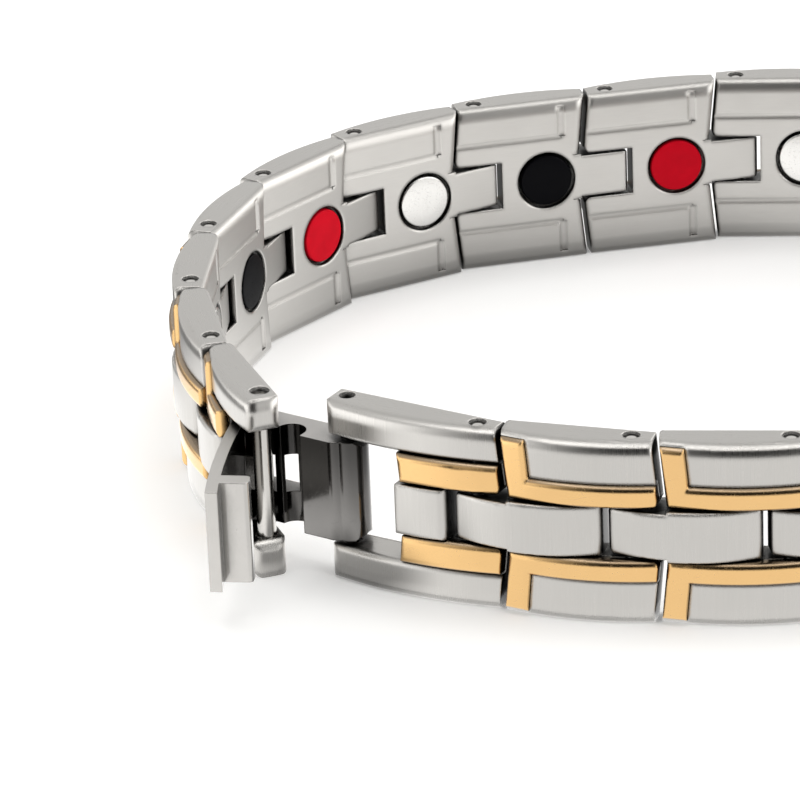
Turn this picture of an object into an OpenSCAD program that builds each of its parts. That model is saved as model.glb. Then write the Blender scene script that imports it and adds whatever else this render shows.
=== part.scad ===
// Two-tone magnetic link bracelet, lying open on its side edge.
// Millimetres. The loop's axis is vertical, the rest plane is z = 0 and the origin is the loop's centre.
// Each link is drawn in its own frame: x runs along the chain from its tongue's pin to its notch's pin,
// y points to the wrist and z is measured from the bracelet's mid-height.

/* [Bracelet] */
// Width of the bracelet, its height as it lies
band_w = 12; // [11.5:0.1:13]
// Distance between the pins of a regular link
pitch = 9.475; // [9.4:0.025:9.6]

/* [Link blocks] */
// Pin to the start of a block, at the bracelet's edge
block_start = 1.65; // [1.65:0.05:1.8]
// How far a block runs past its notch pin, at the bracelet's edge
block_overrun = 1.33; // [1.2:0.01:1.33]
// Slant of the block ends, how much further along the inner corners sit
chevron = 0.42; // [0:0.02:0.5]
// Depth of the links from the pin to the wrist side
inner_depth = 0.9; // [0.85:0.05:1]
// Depth of the brushed panel from the pin, at the crown of its arch
panel_crown = 1.5; // [1.4:0.05:1.6]
// Radius of the panel's arch
panel_arch = 18; // [16:1:24]
// Where the arch of a regular link has its crown, from the tongue pin
crown_at = 6.2; // [5.8:0.1:6.6]
// Rounding of the panel's edge at the bracelet's edge
panel_edge_r = 0.45; // [0.3:0.05:0.45]
// Height of the lip in which the panel runs on over the upright bar, at the bracelet's edge
lip_h = 0.3; // [0.3:0.05:0.4]

/* [Gold ribs] */
// Height of the rib along a regular link's notch
rib_h = 1.5; // [1.3:0.05:1.7]
// Height of the rib along an end link's opening
end_rib_h = 1.95; // [1.8:0.05:2.05]
// Width of the upright bar at the block's start
bar_w = 1.5; // [1.2:0.02:1.6]
// How far the ribs stand above the panel
rib_raise = 0.35; // [0.25:0.05:0.45]
// Depth to which the ribs are let into the block
rib_bed = 0.45; // [0.35:0.05:0.5]
// Rounding of the ribs' edges
rib_edge_r = 0.44; // [0.3:0.02:0.46]
// Gap all round a rib in its bed
bed_gap = 0.02; // [0.01:0.01:0.04]

/* [Centre plates and joints] */
// Height of the notch between the two blocks of a link
notch_h = 3.4; // [3.2:0.1:3.6]
// Height of the tongue that lies in a notch
tongue_h = 3; // [2.8:0.05:3.1]
// Radius of the tongue's end round its pin
tongue_r = 1.45; // [1.35:0.05:1.5]
// Depth of the centre plate from the pin, at the crown of its arch
plate_crown = 1.85; // [1.7:0.05:1.9]
// Radius of the centre plate's arch
plate_arch = 11; // [10:0.5:13]
// Where the centre plate has its crown, from the tongue pin
plate_crown_at = 3.7; // [3.5:0.1:3.9]
// Notch pin to the end wall of the notch
notch_wall = 1.695; // [1.6:0.005:1.8]
// Diameter of the link pins
pin_d = 1.05; // [0.9:0.05:1.1]
// Radial gap round a link pin
pin_gap = 0.02; // [0.01:0.01:0.03]
// How far the pins' ends lie below the bracelet's edge
pin_recess = 0.25; // [0.2:0.05:0.4]

/* [Discs] */
// Diameter of the round inserts on the wrist side
disc_d = 3.7; // [3.4:0.05:3.8]
// Thickness of an insert
disc_t = 1.35; // [1:0.05:1.4]
// Place of the insert along its link, from the tongue pin
disc_at = 4.6; // [4.4:0.05:4.8]
// Radial gap between an insert and its seat
disc_gap = 0.02; // [0.01:0.01:0.03]
// Diameter of the shallow ring cut round the insert
ring_d = 4.2; // [4.1:0.05:4.4]
// Depth of that ring
ring_depth = 0.35; // [0.2:0.05:0.5]

/* [End links] */
// Clasp pin to the first link pin
clasp_end_pitch = 9.15; // [9:0.05:9.4]
// Last link pin to the catch bar
bar_end_pitch = 9.5; // [9.4:0.05:9.7]
// Height of the arms beside the opening
arm_h = 2.35; // [2.25:0.05:2.4]
// Clasp pin to the ribs and the plate of the clasp's end link
clasp_rib_at = 4; // [3.9:0.05:4.2]
// Last link pin to the end of the ribs on the bar's end link
bar_rib_end = 6.35; // [6.2:0.05:6.5]
// Last link pin to the end of the plate on the bar's end link
bar_plate_end = 5.6; // [5.4:0.05:5.7]
// Radius of the arm ends round the clasp pin, and reach of the other arms past the catch bar
arm_end_r = 1.25; // [1.2:0.05:1.35]
// Rounding of the arms' corners beside the opening
arm_corner_r = 0.7; // [0.4:0.05:0.8]

/* [Clasp] */
// Height of the clasp's base plate and lever
clasp_h = 6.6; // [6:0.1:6.8]
// Diameter of the catch bar
catch_d = 1.2; // [1:0.05:1.25]
// Diameter of the clasp pin
clasp_pin_d = 1; // [0.9:0.05:1.1]
// Diameter of the lever's pin
lever_pin_d = 0.8; // [0.7:0.05:0.9]
// Radial play of the base plate and the lever on their pins
hinge_play = 0.03; // [0.02:0.01:0.05]
// Depth of the base plate's outer face from the clasp pin
base_front = 1.45; // [1.4:0.05:1.5]
// Depth of its wrist side from the clasp pin
base_back = 0.95; // [0.9:0.05:1]
// Distance of the catch groove from the clasp pin
groove_at = 3.6; // [3.5:0.05:3.7]
// Radius of the catch groove
groove_r = 0.95; // [0.9:0.05:1]
// Depth from the clasp pin at which the catch groove is centred
groove_depth = 1; // [0.95:0.01:1.05]
// Height of the slot that holds the lever's knuckle and opens into the groove as a window
window_h = 2.5; // [2.2:0.1:2.8]
// Distance from the clasp pin to the lever's hinge
hinge_at = 6.4; // [6.3:0.05:6.5]
// Depth of that hinge from the clasp pin
hinge_depth = 0.6; // [0.55:0.01:0.65]
// Radius of the knuckles at the lever's hinge
knuckle_r = 0.8; // [0.75:0.05:0.85]
// Reach of the lever from its hinge to the inner side of its foot
foot_at = 8.35; // [8.2:0.05:8.5]
// Thickness of the foot
foot_t = 1.1; // [0.9:0.05:1.2]
// Length by which the nail tab stands past the foot
tab_len = 1.4; // [1:0.05:1.6]
// Thickness of the lever's arm
lever_t = 0.75; // [0.6:0.05:0.8]

/* [Lay of the loop] */
// Heading of the clasp's end link, degrees
clasp_end_heading = -31.7; // [-33:0.1:-30]
// Heading of the bar's end link
bar_end_heading = 289.2; // [288:0.1:291]
// Heading of the clasp's base plate, from the clasp pin's side
base_heading = -34; // [-35:0.5:-33]
// How far the lever stands open
lever_open = 64.5; // [60:0.5:68]
// Reach from the clasp pin to the catch bar along x, as the clasp lies open
open_x = -5.34; // [-5.5:0.01:-5.2]
// The same along y
open_y = 1.21; // [1.1:0.01:1.3]

/* [Hidden] */
$fn = 64;
arch_fn = 180;
// Regular links between the two end links
link_count = 20;
cut = 1;
half_w = band_w / 2;
notch_z = notch_h / 2;
block_h = half_w - notch_z;
panel_t = panel_crown + inner_depth + cut;
chevron_angle = atan(chevron / block_h);
rib_t = rib_raise + rib_bed;
core_crown = panel_crown - rib_bed - bed_gap;
core_inset = rib_t + bed_gap;
rib_crown = panel_crown + rib_raise;
bar_top_z = half_w - lip_h - bed_gap;
plate_gap = 0.05;
web_depth = 0.4;
web_lap = 0.3;
block_corner_r = 0.42;
start_corner_r = 0.6;
end_corner_r = 0.35;
panel_end_r = 0.25;
wrist_edge_r = 0.3;
tongue_edge_r = 0.15;
tongue_corner_r = 0.45;
arm_edge_r = 0.35;
clasp_end_crown_at = 3.5;
clasp_end_arch = 25;
bar_end_crown_at = 7.2;
bar_end_arch = 20;
clasp_plate_crown_at = 4.6;
inner_groove_w = 0.6;
inner_groove_depth = 0.15;
inner_line_w = 0.4;
inner_line_depth = 0.08;
inner_groove_stop = 0.56;
clasp_pin_recess = 0.75;
arm_z = half_w - arm_h;
pin_len = band_w - 2 * pin_recess;

// The links that the loop shows at its front and at its back keep their own headings
front_headings = [-17, -5.8];
back_headings = [190.5, 192.4, 207.9, 229.1, 248.1, 264, 279];

function unit(a) = [cos(a), sin(a)];
function total(v, i = 0) = i >= len(v) ? [0, 0] : v[i] + total(v, i + 1);
function turned(p, a) = [p[0] * cos(a) - p[1] * sin(a), p[0] * sin(a) + p[1] * cos(a)];

// The plain stretch between them turns evenly and closes the loop: spread sets how the turning is
// shared out, and lean tips the middle of the stretch
hidden_count = link_count - len(front_headings) - len(back_headings);
hidden_from = front_headings[len(front_headings) - 1];
hidden_to = back_headings[0];
hidden_mid = (hidden_from + hidden_to) / 2;
hidden_half = (hidden_to - hidden_from) / 2;
function hidden_heading(j, spread, lean) =
    let (t = 2 * j / (hidden_count + 1) - 1)
    hidden_mid + hidden_half * sign(t) * pow(abs(t), spread) + lean * (1 - t * t);
function hidden_reach(spread, lean) =
    total([for (j = [1 : hidden_count]) pitch * unit(hidden_heading(j, spread, lean))]);
shown_reach = clasp_end_pitch * unit(clasp_end_heading) + bar_end_pitch * unit(bar_end_heading)
    + total([for (a = concat(front_headings, back_headings)) pitch * unit(a)]);
wanted = [open_x, open_y] - shown_reach;
function find_spread(lean, low, high, steps) =
    let (m = (low + high) / 2)
    steps == 0 ? m
    : norm(hidden_reach(m, lean)) > norm(wanted) ? find_spread(lean, low, m, steps - 1)
    : find_spread(lean, m, high, steps - 1);
function reach_angle(v) = atan2(v[1], v[0]);
function find_lean(low, high, steps) =
    let (m = (low + high) / 2)
    steps == 0 ? m
    : reach_angle(hidden_reach(find_spread(m, 0.3, 1.6, 16), m)) > reach_angle(wanted)
        ? find_lean(low, m, steps - 1)
    : find_lean(m, high, steps - 1);
lean = find_lean(-30, 30, 16);
spread = find_spread(lean, 0.3, 1.6, 20);
headings = concat([clasp_end_heading], front_headings,
    [for (j = [1 : hidden_count]) hidden_heading(j, spread, lean)], back_headings, [bar_end_heading]);
steps_along = [for (k = [0 : link_count + 1])
    (k == 0 ? clasp_end_pitch : k == link_count + 1 ? bar_end_pitch : pitch) * unit(headings[k])];
function pins_from(p, k) = k > link_count + 1 ? [p] : concat([p], pins_from(p + steps_along[k], k + 1));
raw_pins = pins_from([0, 0], 0);
pin_xs = [for (p = raw_pins) p[0]];
pin_ys = [for (p = raw_pins) p[1]];
loop_centre = [(min(pin_xs) + max(pin_xs)) / 2, (min(pin_ys) + max(pin_ys)) / 2];
pins = [for (p = raw_pins) p - loop_centre];
catch_bar_at = pins[link_count + 2];

// Clasp points in the base plate's frame: x towards the clasp pin's side, y to the wrist
hinge_pos = [-hinge_at, -hinge_depth];
groove_pos = [-groove_at, -groove_depth];
lever_inner = 0.95;
lever_crown = lever_inner + lever_t;
lever_arch = 60;
foot_reach = 0.95;
foot_corner_r = 0.3;
lobe_front = 0.85;
lobe_wall = 0.25;
slot_past_hinge = 1.4;
window_short = 0.2;
knuckle_gap = 0.1;
lever_tip_r = 0.6;
foot_neck = 0.375;
clasp_z = clasp_h / 2;
barrel_r = 1.2;
barrel_chamfer = 0.4;
shoulder_x = 0.35;
shoulder_r = 1;
lever_pin_recess = 0.1;
hinge_world = pins[0] + turned(hinge_pos, base_heading);

// Outer surface of an arch: y at x, for an arch of radius r whose crown lies at xc
function arch_y(x, xc, r, crown) = r - crown - sqrt(r * r - (x - xc) * (x - xc));
// Heading of that surface at x
function arch_slope(x, xc, r) = asin((x - xc) / r);

// Where a slanted block's corner stands furthest out, for a corner that is at x on the bracelet's edge
function corner_x(x, xc) = x < xc ? x + chevron : x;

// Takes off the corner at the origin between edges that head to a1 and a2; with no radius it stays sharp
module corner_cutter(a1, a2, r) {
    half = abs(a2 - a1) / 2;
    mid = (a1 + a2) / 2;
    if (r > 0) difference() {
        polygon([-r * unit(mid), r / tan(half) * unit(a1), r / sin(half) * unit(mid),
            r / tan(half) * unit(a2)]);
        translate(r / sin(half) * unit(mid)) circle(r);
    }
}

// Ring round an arch's axis, from z0 to z1, with its outer edges rounded
module arch_ring(xc, r, crown, depth, z0, z1, low_r, high_r) {
    translate([xc, r - crown, 0]) rotate_extrude($fn = arch_fn) difference() {
        translate([r - depth, z0]) square([depth, z1 - z0]);
        translate([r, z1]) corner_cutter(180, 270, high_r);
        translate([r, z0]) corner_cutter(90, 180, low_r);
    }
}

// Prism of a plan, leaning with the slant of the block ends
module slanted() {
    translate([0, 0, half_w]) rotate([0, -chevron_angle, 0]) translate([0, 0, -half_w])
        linear_extrude(half_w + 2 * cut) children();
}

// Plan with its four corners rounded; outer corners follow the arch
module block_plan(x0, x1, xc, r, crown, start_in, end_in, start_out, end_out) {
    start_x = corner_x(x0, xc);
    end_x = corner_x(x1, xc);
    difference() {
        translate([x0, -crown - cut]) square([x1 - x0, crown + cut + inner_depth]);
        translate([x0, inner_depth]) corner_cutter(-90, 0, start_in);
        translate([x1, inner_depth]) corner_cutter(180, 270, end_in);
        translate([x0, arch_y(start_x, xc, r, crown)])
            corner_cutter(arch_slope(start_x, xc, r), 90, start_out);
        translate([x1, arch_y(end_x, xc, r, crown)])
            corner_cutter(90, 180 + arch_slope(end_x, xc, r), end_out);
    }
}

// Rounds the corner of a block beside the notch, seen from outside: at x, heading back to a1 and a2
module edge_corner(x, z, a1, a2, r) {
    translate([x, 2 * half_w, z]) rotate([90, 0, 0]) linear_extrude(4 * half_w) corner_cutter(a1, a2, r);
}

// One upper block without its rib's bed: from x0 to x1, z0 up to the bracelet's edge
module block_solid(x0, x1, xc, r, crown, depth, z0, low_r, high_r, start_in, end_in, start_out, end_out) {
    intersection() {
        arch_ring(xc, r, crown, depth, z0, half_w, low_r, high_r);
        slanted() block_plan(x0, x1, xc, r, crown, start_in, end_in, start_out, end_out);
    }
}

module both_halves() {
    children();
    mirror([0, 0, 1]) children();
}

// Rounding cuts at the two corners beside the notch
module notch_corners(x0, x1) {
    edge_corner(x0 + chevron, notch_z, 0, 90 + chevron_angle, block_corner_r);
    edge_corner(x1 + chevron, notch_z, 90 + chevron_angle, 180, block_corner_r);
}

// Upper block of a regular link: the core under the ribs and the brushed panel
module link_block() {
    x1 = pitch + block_overrun;
    core_depth = core_crown + inner_depth + cut;
    difference() {
        union() {
            block_solid(block_start, x1, crown_at, panel_arch - core_inset, core_crown, core_depth,
                notch_z, 0, 0, start_corner_r, end_corner_r, 0, 0);
            block_solid(block_start + bar_w + bed_gap, x1, crown_at, panel_arch, panel_crown,
                panel_t, notch_z + rib_h + bed_gap, 0, panel_edge_r, 0, end_corner_r, 0, panel_end_r);
            block_solid(block_start, x1, crown_at, panel_arch, panel_crown, panel_t, half_w - lip_h,
                0, panel_edge_r, start_corner_r, end_corner_r, 0, panel_end_r);
        }
        notch_corners(block_start, x1);
        wrist_edge();
        wrist_grooves();
    }
}

// Rounding cut along the wrist side of a block, at the bracelet's edge
module wrist_edge() {
    translate([-pitch, inner_depth, half_w]) rotate([90, 0, 90])
        linear_extrude(3 * pitch) corner_cutter(180, 270, wrist_edge_r);
}

// Shallow scooped groove of width w and depth d, along z from the origin, in a face that looks along y
module scoop(w, d, len) {
    r = (w * w / 4 + d * d) / (2 * d);
    translate([0, r - d, 0]) cylinder(r = r, h = len);
}

// Grooves that frame the flat panel of a block's wrist side
module wrist_grooves() {
    x = block_start + bar_w + inner_groove_w / 2;
    z = notch_z + rib_h;
    translate([x, inner_depth, z])
        scoop(inner_groove_w, inner_groove_depth, half_w - z - inner_groove_stop);
    translate([x, inner_depth, z]) rotate([0, 90, 0])
        scoop(inner_line_w, inner_line_depth, pitch + block_overrun + cut - x);
}

// Centre plate: arched, from x0 to x1, z up to zh
module plate_solid(x0, x1, xc, zh, round_end) {
    intersection() {
        arch_ring(xc, plate_arch, plate_crown, plate_crown + inner_depth + cut, -zh, zh,
            tongue_edge_r, tongue_edge_r);
        translate([0, 0, -zh - cut]) linear_extrude(2 * (zh + cut)) difference() {
            translate([x0, -plate_crown - cut]) square([x1 - x0, plate_crown + cut + inner_depth]);
            if (round_end > 0)
                translate([x1, arch_y(x1, xc, plate_arch, plate_crown)])
                    corner_cutter(90, 180 + arch_slope(x1, xc, plate_arch), round_end);
        }
    }
}

// Tongue: the same plate on the near side, closed by a round end on the pin
module tongue_solid(x1) {
    zh = tongue_h / 2;
    difference() {
        union() {
            plate_solid(0, x1, plate_crown_at, zh, 0);
            intersection() {
                plate_solid(-tongue_r - cut, cut, plate_crown_at, zh, 0);
                translate([0, 0, -zh]) cylinder(r = tongue_r, h = 2 * zh);
            }
        }
        both_halves() edge_corner(-tongue_r, zh, -90, 0, tongue_corner_r);
    }
}

// Web that joins the plate to both blocks behind the ribs
module web(x0, x1) {
    translate([x0, -web_depth, -notch_z - web_lap])
        cube([x1 - x0, web_depth + inner_depth, 2 * (notch_z + web_lap)]);
}

module pin_bore(x, d, gap) {
    translate([x, 0, -half_w - cut]) cylinder(d = d + 2 * gap, h = band_w + 2 * cut);
}

module disc_seat() {
    seat_depth = disc_t + disc_gap;
    translate([disc_at, inner_depth + cut, 0]) rotate([90, 0, 0]) {
        cylinder(d = disc_d + 2 * disc_gap, h = seat_depth + cut);
        cylinder(d = ring_d, h = ring_depth + cut);
    }
}

// Whole steel body of a regular link
module link_body() {
    wall_x = pitch - notch_wall;
    joint_x = block_start + chevron;
    difference() {
        union() {
            both_halves() link_block();
            web(joint_x + start_corner_r, wall_x);
            plate_solid(joint_x, wall_x, plate_crown_at, notch_z - plate_gap, start_corner_r);
            tongue_solid(joint_x + web_lap);
        }
        pin_bore(0, pin_d, pin_gap);
        pin_bore(pitch, pin_d, pin_gap);
        disc_seat();
    }
}

// Upper rib of a regular link: the bar along the notch and the upright bar
module link_rib() {
    x1 = pitch + block_overrun;
    difference() {
        union() {
            intersection() {
                arch_ring(crown_at, panel_arch, rib_crown, rib_t, notch_z, notch_z + rib_h,
                    rib_edge_r, rib_edge_r);
                slanted() block_plan(block_start, x1, crown_at, panel_arch, rib_crown,
                    start_corner_r, end_corner_r, rib_edge_r, rib_edge_r);
            }
            intersection() {
                arch_ring(crown_at, panel_arch, rib_crown, rib_t, notch_z, bar_top_z, rib_edge_r,
                    rib_edge_r);
                slanted() block_plan(block_start, block_start + bar_w, crown_at, panel_arch, rib_crown,
                    start_corner_r, 0, rib_edge_r, rib_edge_r);
            }
        }
        notch_corners(block_start, x1);
    }
}

// Arm of an end link, from x0 to x1 beside the opening
module arm_solid(x0, x1, xc, r, start_out, end_out, start_in, end_in) {
    intersection() {
        arch_ring(xc, r, panel_crown, panel_t, arm_z, half_w, arm_edge_r, panel_edge_r);
        translate([0, 0, arm_z - cut]) linear_extrude(arm_h + 2 * cut)
            block_plan(x0, x1, xc, r, panel_crown, start_in, end_in, start_out, end_out);
    }
}

// Upper half of the clasp's end link
module clasp_end_half() {
    x1 = clasp_end_pitch + block_overrun;
    core_depth = core_crown + inner_depth + cut;
    difference() {
        union() {
            intersection() {
                arm_solid(-arm_end_r - cut, x1 + chevron, clasp_end_crown_at, clasp_end_arch,
                    panel_end_r, panel_end_r, start_corner_r, end_corner_r);
                slanted() translate([-arm_end_r - panel_t, -panel_t])
                    square([x1 + arm_end_r + panel_t, 2 * panel_t]);
                union() {
                    translate([0, 0, arm_z - cut]) cylinder(r = arm_end_r, h = arm_h + 2 * cut);
                    translate([0, -panel_t, arm_z - cut])
                        cube([x1 + 2 * cut, 2 * panel_t, arm_h + 2 * cut]);
                }
            }
            block_solid(clasp_rib_at, x1, clasp_end_crown_at, clasp_end_arch - core_inset, core_crown,
                core_depth, notch_z, 0, 0, end_corner_r, end_corner_r, 0, 0);
        }
        edge_corner(x1 + chevron, notch_z, 90 + chevron_angle, 180, block_corner_r);
        edge_corner(clasp_rib_at + chevron, notch_z, 0, 90 + chevron_angle, block_corner_r);
        edge_corner(-arm_end_r, arm_z, 0, 90, arm_corner_r);
        edge_corner(-arm_end_r, half_w, 270, 360, arm_corner_r);
        wrist_edge();
    }
}

module clasp_end_body() {
    wall_x = clasp_end_pitch - notch_wall;
    difference() {
        union() {
            both_halves() clasp_end_half();
            web(clasp_rib_at + chevron, wall_x);
            plate_solid(clasp_rib_at + chevron / 2, wall_x, clasp_plate_crown_at, notch_z - plate_gap,
                start_corner_r);
        }
        pin_bore(0, clasp_pin_d, pin_gap);
        pin_bore(clasp_end_pitch, pin_d, pin_gap);
    }
}

// Upper rib of the clasp's end link
module clasp_end_rib() {
    x1 = clasp_end_pitch + block_overrun;
    difference() {
        intersection() {
            arch_ring(clasp_end_crown_at, clasp_end_arch, rib_crown, rib_t, notch_z,
                notch_z + end_rib_h - bed_gap, rib_edge_r, rib_edge_r);
            slanted() block_plan(clasp_rib_at, x1, clasp_end_crown_at, clasp_end_arch, rib_crown,
                end_corner_r, end_corner_r, rib_edge_r, rib_edge_r);
        }
        edge_corner(x1 + chevron, notch_z, 90 + chevron_angle, 180, block_corner_r);
        edge_corner(clasp_rib_at + chevron, notch_z, 0, 90 + chevron_angle, block_corner_r);
        pin_bore(clasp_end_pitch, pin_d, pin_gap);
    }
}

// Upper half of the bar's end link
module bar_end_half() {
    x1 = bar_end_pitch + arm_end_r;
    core_depth = core_crown + inner_depth + cut;
    difference() {
        union() {
            intersection() {
                arm_solid(block_start, x1, bar_end_crown_at, bar_end_arch, 0, start_corner_r, 0,
                    start_corner_r);
                slanted() translate([block_start + bar_w + bed_gap, -panel_t])
                    square([x1 - block_start, 2 * panel_t]);
            }
            block_solid(block_start, bar_rib_end - chevron, bar_end_crown_at, bar_end_arch - core_inset,
                core_crown, core_depth, notch_z, 0, 0, start_corner_r, end_corner_r, 0, 0);
            block_solid(block_start, bar_rib_end, bar_end_crown_at, bar_end_arch, panel_crown, panel_t,
                half_w - lip_h, 0, panel_edge_r, start_corner_r, 0, 0, 0);
        }
        edge_corner(block_start + chevron, notch_z, 0, 90 + chevron_angle, block_corner_r);
        edge_corner(x1, arm_z, 90, 180, arm_corner_r);
        wrist_edge();
        wrist_line();
    }
}

// Groove beside the upright strip on the wrist side of the bar's end link
module wrist_line() {
    translate([block_start + bar_w + inner_groove_w / 2, inner_depth, arm_z + arm_edge_r])
        scoop(inner_groove_w, inner_groove_depth, arm_h - arm_edge_r - inner_groove_stop);
}

module bar_end_body() {
    joint_x = block_start + chevron;
    difference() {
        union() {
            both_halves() bar_end_half();
            web(joint_x + start_corner_r, bar_plate_end);
            plate_solid(joint_x, bar_plate_end, plate_crown_at, notch_z - plate_gap, start_corner_r);
            tongue_solid(joint_x + web_lap);
        }
        pin_bore(0, pin_d, pin_gap);
        pin_bore(bar_end_pitch, catch_d, pin_gap);
    }
}

// Upper rib of the bar's end link
module bar_end_rib() {
    difference() {
        union() {
            intersection() {
                arch_ring(bar_end_crown_at, bar_end_arch, rib_crown, rib_t, notch_z,
                    notch_z + end_rib_h - bed_gap, rib_edge_r, rib_edge_r);
                slanted() block_plan(block_start, bar_rib_end - chevron, bar_end_crown_at, bar_end_arch,
                    rib_crown, start_corner_r, end_corner_r, rib_edge_r, rib_edge_r);
            }
            intersection() {
                arch_ring(bar_end_crown_at, bar_end_arch, rib_crown, rib_t, notch_z, bar_top_z,
                    rib_edge_r, rib_edge_r);
                slanted() block_plan(block_start, block_start + bar_w, bar_end_crown_at, bar_end_arch,
                    rib_crown, start_corner_r, 0, rib_edge_r, rib_edge_r);
            }
        }
        edge_corner(block_start + chevron, notch_z, 0, 90 + chevron_angle, block_corner_r);
        edge_corner(bar_rib_end, notch_z, 90 + chevron_angle, 180, block_corner_r);
    }
}

// Puts a piece drawn in the frame of link k into the loop; link 0 is the clasp's end link
module on_link(k) {
    translate([pins[k][0], pins[k][1], half_w]) rotate([0, 0, headings[k]]) children();
}

module link(k) {
    color("silver") on_link(k) link_body();
}

module ribs(k) {
    color("goldenrod") on_link(k) both_halves() link_rib();
}

module clasp_end_link() {
    color("silver") on_link(0) clasp_end_body();
}

module clasp_end_ribs() {
    color("goldenrod") on_link(0) both_halves() clasp_end_rib();
}

module bar_end_link() {
    color("silver") on_link(link_count + 1) bar_end_body();
}

module bar_end_ribs() {
    color("goldenrod") on_link(link_count + 1) both_halves() bar_end_rib();
}

// The inserts follow one another in threes, counted back from the bar's end link
module discs(kind) {
    for (k = [1 : link_count])
        if ((link_count - k) % 3 == kind)
            on_link(k) translate([disc_at, inner_depth, 0]) rotate([90, 0, 0])
                cylinder(d = disc_d, h = disc_t);
}

module red_discs() {
    color("firebrick") discs(0);
}

module magnet_discs() {
    color("gainsboro") discs(1);
}

module black_discs() {
    color([0.05, 0.05, 0.05]) discs(2);
}

module upright_pin(p, d, len) {
    translate([p[0], p[1], half_w - len / 2]) cylinder(d = d, h = len);
}

module link_pins() {
    color("lightgray") for (k = [1 : link_count + 1]) upright_pin(pins[k], pin_d, pin_len);
}

module catch_bar() {
    color("lightgray") upright_pin(catch_bar_at, catch_d, pin_len);
}

module clasp_pin() {
    color("lightgray") upright_pin(pins[0], clasp_pin_d, band_w - 2 * clasp_pin_recess);
}

module lever_pin() {
    color("lightgray") upright_pin(hinge_world, lever_pin_d, clasp_h - 2 * lever_pin_recess);
}

// Plan of the base plate: barrel on the clasp pin, body with its shoulder, lobe and end knuckle
module base_plan() {
    difference() {
        union() {
            circle(barrel_r);
            difference() {
                translate([-groove_at, -base_front])
                    square([groove_at + shoulder_x, base_front + base_back]);
                translate([shoulder_x, -base_front]) corner_cutter(90, 180, shoulder_r);
            }
            translate([-hinge_at, -lobe_front]) square([hinge_at, lobe_front + base_back]);
            translate(hinge_pos) circle(knuckle_r);
            translate(hinge_pos + [-knuckle_r, 0]) square([knuckle_r, base_back - hinge_pos[1]]);
        }
        translate([-barrel_r - cut, base_back]) square([2 * barrel_r + 2 * cut, cut]);
        translate(groove_pos) circle(groove_r);
        translate(groove_pos + [-groove_r, -cut]) square([2 * groove_r, cut]);
        translate([-hinge_at - knuckle_r, base_back]) corner_cutter(-90, 0, knuckle_r);
    }
}

module clasp_base() {
    color("dimgray") translate([pins[0][0], pins[0][1], half_w]) rotate([0, 0, base_heading]) difference() {
        translate([0, 0, -clasp_z]) linear_extrude(clasp_h) base_plan();
        translate([0, 0, -half_w]) cylinder(d = clasp_pin_d + 2 * hinge_play, h = band_w);
        translate([hinge_pos[0], hinge_pos[1], -half_w])
            cylinder(d = lever_pin_d + 2 * bed_gap, h = band_w);
        knuckle_slot();
        for (s = [-1, 1])
            translate([barrel_r, 0, s * clasp_z]) rotate([0, 45, 0])
                cube([barrel_chamfer * sqrt(2), 2 * barrel_r + cut, barrel_chamfer * sqrt(2)],
                    center = true);
    }
}

// Slot for the lever's knuckle: right through the plate round the hinge, and from there cut in from
// the wrist side until it breaks into the catch groove
module knuckle_slot() {
    slot_end = slot_past_hinge - hinge_at;
    pocket_end = -groove_at - window_short;
    pocket_front = lobe_wall - lobe_front;
    far_end = -hinge_at - knuckle_r - cut;
    translate([far_end, -base_front - cut, -window_h / 2])
        cube([slot_end - far_end, base_front + base_back + 2 * cut, window_h]);
    translate([far_end, pocket_front, -window_h / 2])
        cube([pocket_end - far_end, base_back - pocket_front + cut, window_h]);
}

// Plan of the lever in its own frame: origin at its pin, x along the arm, y towards the wrist when shut
module lever_plan() {
    tip = foot_at + foot_t + tab_len;
    foot_from = -lever_crown + foot_neck;
    difference() {
        union() {
            intersection() {
                translate([tip / 2, lever_arch - lever_crown]) difference() {
                    circle(lever_arch, $fn = arch_fn);
                    circle(lever_arch - lever_t, $fn = arch_fn);
                }
                translate([0, -2 * lever_crown]) square([tip, 2 * lever_crown]);
            }
            difference() {
                translate([foot_at, foot_from]) square([foot_t, foot_reach - foot_from]);
                translate([foot_at, foot_reach]) corner_cutter(-90, 0, foot_corner_r);
                translate([foot_at + foot_t, foot_reach]) corner_cutter(180, 270, foot_corner_r);
            }
        }
        translate([0, arch_y(0, tip / 2, lever_arch, lever_crown)])
            corner_cutter(arch_slope(0, tip / 2, lever_arch), 90, lever_tip_r);
        circle(knuckle_r + knuckle_gap);
    }
}

// Knuckle of the lever and the neck that carries the arm
module lever_knuckle() {
    difference() {
        union() {
            circle(knuckle_r);
            translate([0, -lever_inner - lever_t / 2]) square([knuckle_r, lever_inner + lever_t / 2]);
            translate([-knuckle_r, -lever_inner]) square([knuckle_r, lever_inner]);
        }
        translate([-knuckle_r, -lever_inner]) corner_cutter(0, 90, knuckle_r / 2);
    }
}

module clasp_lever() {
    color("silver") translate([hinge_world[0], hinge_world[1], half_w])
        rotate([0, 0, base_heading - lever_open]) difference() {
            union() {
                translate([0, 0, -clasp_z]) linear_extrude(clasp_h) lever_plan();
                translate([0, 0, -window_h / 2 + knuckle_gap])
                    linear_extrude(window_h - 2 * knuckle_gap) lever_knuckle();
            }
            translate([0, 0, -half_w]) cylinder(d = lever_pin_d + 2 * hinge_play, h = band_w);
        }
}

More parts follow.
